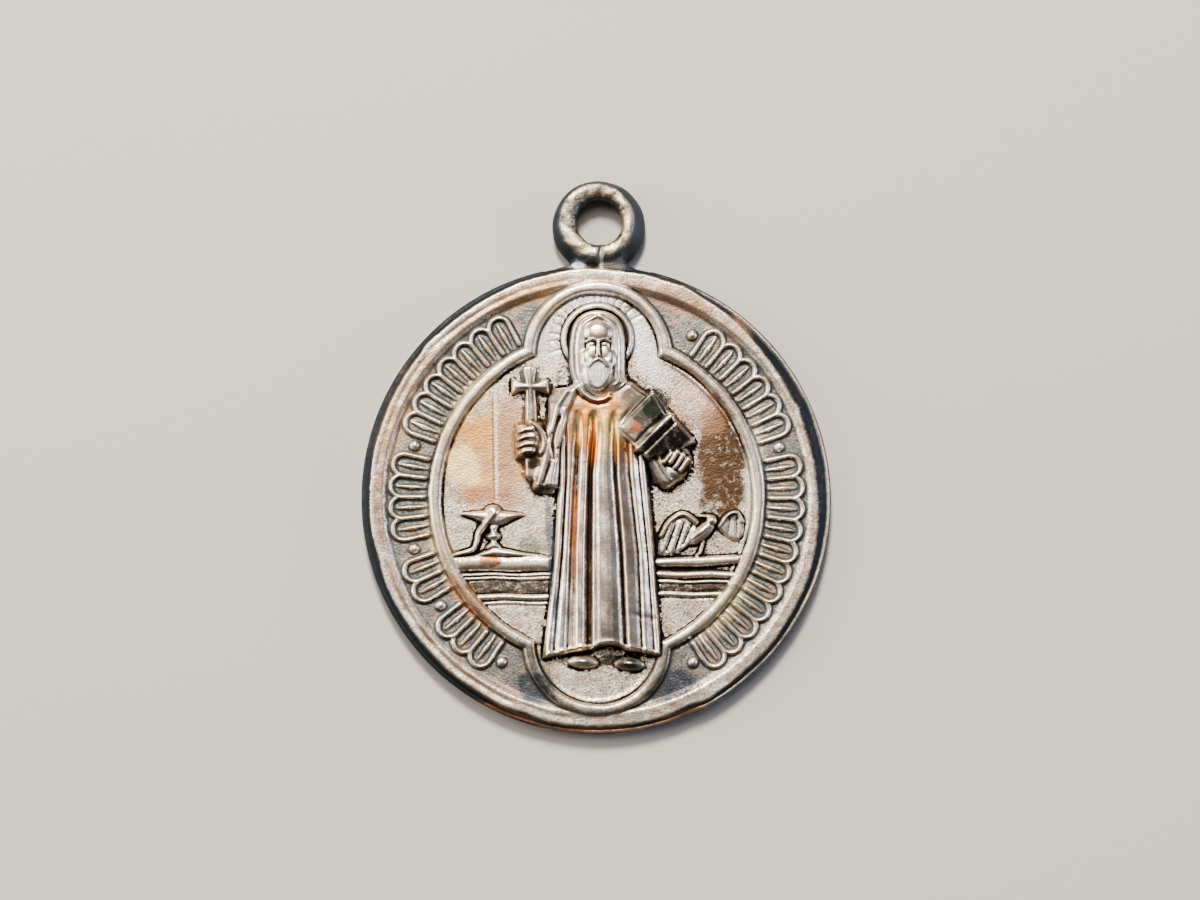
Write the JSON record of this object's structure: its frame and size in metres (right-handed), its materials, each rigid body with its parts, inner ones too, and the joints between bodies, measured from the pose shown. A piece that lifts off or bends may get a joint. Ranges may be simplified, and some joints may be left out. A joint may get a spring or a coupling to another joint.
{
  "type": "religious medal pendant",
  "caption": "Round struck devotional medal with an integral hanging loop: a robed, bearded saint in relief inside a lobed moulding and a band of ornament, in worn silver over bronze.",
  "frame": {"origin": "middle of the disc's flat back, on the surface that the medal lies on", "axes": "+Z out of the struck front, +Y from the disc's middle to the hanging loop, +X to the right of the figure as seen from the front"},
  "size_m": [0.032, 0.0379, 0.0028],
  "materials": {
    "tarnished_silver": "worn silver plate over bronze, tarnished black in the hollows, bare warm metal on the high spots"
  },
  "bodies": {
    "root": {"medal_with_loop": "tarnished_silver"}
  },
  "joints": []
}
